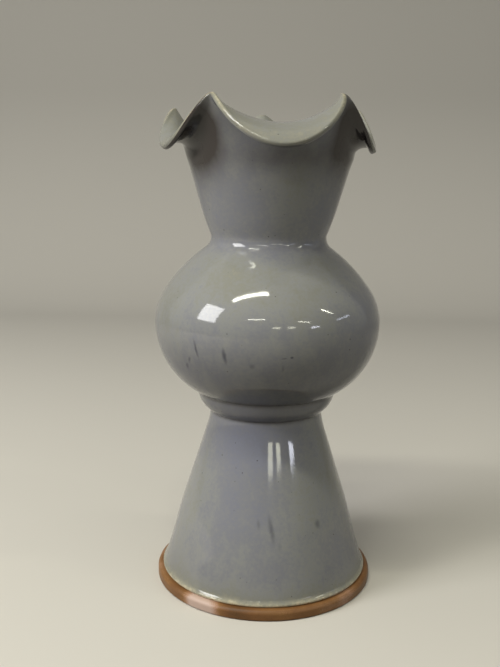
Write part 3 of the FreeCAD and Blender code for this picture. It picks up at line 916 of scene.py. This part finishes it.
def seen_rays(tree):
    """One for rays that show a thing to the camera, straight or mirrored, and nought for the rest."""
    path = add(tree, "ShaderNodeLightPath")
    mirrored = add(tree, "ShaderNodeMath", {"operation": "MAXIMUM"},
                   _0=path.outputs["Is Glossy Ray"], _1=path.outputs["Is Transmission Ray"])
    seen = add(tree, "ShaderNodeMath", {"operation": "MAXIMUM"},
               _0=path.outputs["Is Camera Ray"], _1=mirrored.outputs[0])
    return seen.outputs[0]


floor = stage_sweep()
paper_in_diffuse_light, paper_seen = "#383633", "#d8d3c9"
paper, tree, output, _ = new_material("pale_backdrop_paper")
tint = add(tree, "ShaderNodeMix", {"data_type": "RGBA"}, _0=seen_rays(tree),
           _6=linear(paper_in_diffuse_light), _7=linear(paper_seen))
set_surface(tree, output, Base_Color=tint.outputs[2], Roughness=0.95)
floor.data.materials.append(paper)
print("paper squares", len(floor.data.polygons))

# %% The room's own light
# A faint light from all round, more of it from the left, where x falls to -1, and from overhead
everywhere, seen_strength = 0.02, 0.36
room_light = (("X", 0.0, -1.0, 0.22), ("Z", 0.5, 1.0, 0.6))
world = bpy.data.worlds.new("studio_room")
bpy.context.scene.world = world
world.use_nodes = True
tree = world.node_tree
axes = add(tree, "ShaderNodeSeparateXYZ", Vector=add(tree, "ShaderNodeTexCoord").outputs["Generated"])
strength = everywhere
for axis, start, full, amount in room_light:
    part = add(tree, "ShaderNodeMapRange", Value=axes.outputs[axis],
               From_Min=start, From_Max=full, To_Max=amount)
    strength = add(tree, "ShaderNodeMath", {"operation": "ADD"}, _0=part.outputs[0], _1=strength).outputs[0]
shown = add(tree, "ShaderNodeMix", {"data_type": "FLOAT"}, _0=seen_rays(tree), _2=strength, _3=seen_strength)
background = tree.nodes["Background"]
background.inputs["Color"].default_value = linear("#fbfaf6")
tree.links.new(shown.outputs[0], background.inputs["Strength"])
print("nodes in the room's light", len(tree.nodes))


# %% Lamps
belly_middle = (0, 0, 0.2)
ceiling, tube_width, pane_distance = 1.8, 0.08, 4.0


def set_at(thing, right, up, back, place):
    """Turn and move a thing: its matrix has its own right, up and back and its place for columns."""
    columns = np.array([right, up, back, place])
    thing.matrix_world = Matrix(np.vstack([columns.T, [0, 0, 0, 1]]).tolist())


def lamp(name, place, target, size, watts, colour="#ffffff"):
    """A rectangular lamp at a place, facing a target."""
    light = bpy.data.lights.new(name, "AREA")
    light.shape = "RECTANGLE"
    light.size, light.size_y = size
    light.energy = watts
    light.color = linear(colour)[:3]
    thing = new_object(name, light)
    thing.visible_camera = False
    back = unit(np.subtract(place, target))
    nearly_up = [0, 1e-6, 1]
    side = unit(np.cross(nearly_up, back))
    set_at(thing, side, np.cross(back, side), back, place)


def towards(turn, rise, distance):
    """A place seen from the belly's middle, at a turn from the front and a rise above level in degrees."""
    turn, rise = math.radians(turn), math.radians(rise)
    flat = distance * math.cos(rise)
    return at_turn(flat, turn, belly_middle[2] + distance * math.sin(rise))


lamp("window", towards(-64, 27.5, 1.8), belly_middle, (0.65, 0.8), 20)
for name, middle_x, y, length, watts in (
        ("tube_near", -0.46, -0.76, 0.96, 13), ("tube_far", -0.64, -2.86, 1.09, 11.5),
        ("tube_right_far", 2.45, -3.0, 1.1, 11), ("tube_right_near", 2.48, -0.87, 1.15, 11)):
    lamp(name, (middle_x, y, ceiling), (middle_x, y, 0), (length, tube_width), watts, "#fbfbe9")
for name, turn, rise, width, height, watts, colour in (
        ("pane_1", 9.5, 14.5, 0.55, 0.2, 3, "#f6f5de"), ("pane_2", 24, 14.5, 0.5, 0.2, 3, "#f6f5de"),
        ("pane_3", 48.8, 12.2, 0.6, 0.16, 4.5, "#eef1ff"), ("pane_4", 84, 17, 1.2, 0.14, 3, "#e2eaff")):
    lamp(name, towards(turn, rise, pane_distance), belly_middle, (width, height), watts, colour)
print("watts of all lamps", sum(light.energy for light in bpy.data.lights))

# %% Camera
# The angle of view comes from a focal length in pixels over the picture's height in pixels
focal_pixels = 830
frame_pixels = 667
camera_back, camera_height = 595.2 * mm, 299.9 * mm
camera_pitch, camera_yaw, camera_roll = math.radians(11.06), math.radians(-1.196), math.radians(0.736)
sensor = 36.0
camera_data = bpy.data.cameras.new("camera")
camera_data.sensor_fit = "VERTICAL"
camera_data.sensor_height = sensor
camera_data.lens = sensor * focal_pixels / frame_pixels
camera_data.clip_start = 0.01
camera = new_object("camera", camera_data)
forward = np.array([
    math.sin(camera_yaw) * math.cos(camera_pitch), math.cos(camera_yaw) * math.cos(camera_pitch),
    -math.sin(camera_pitch)])
level = np.array([math.cos(camera_yaw), -math.sin(camera_yaw), 0])
upward = np.cross(level, forward)
right_hand = math.cos(camera_roll) * level + math.sin(camera_roll) * upward
over_head = -math.sin(camera_roll) * level + math.cos(camera_roll) * upward
set_at(camera, right_hand, over_head, -forward, (0, -camera_back, camera_height))
bpy.context.scene.camera = camera
bpy.context.scene.view_settings.view_transform = "Standard"
print("lens in mm", round(camera_data.lens, 1))
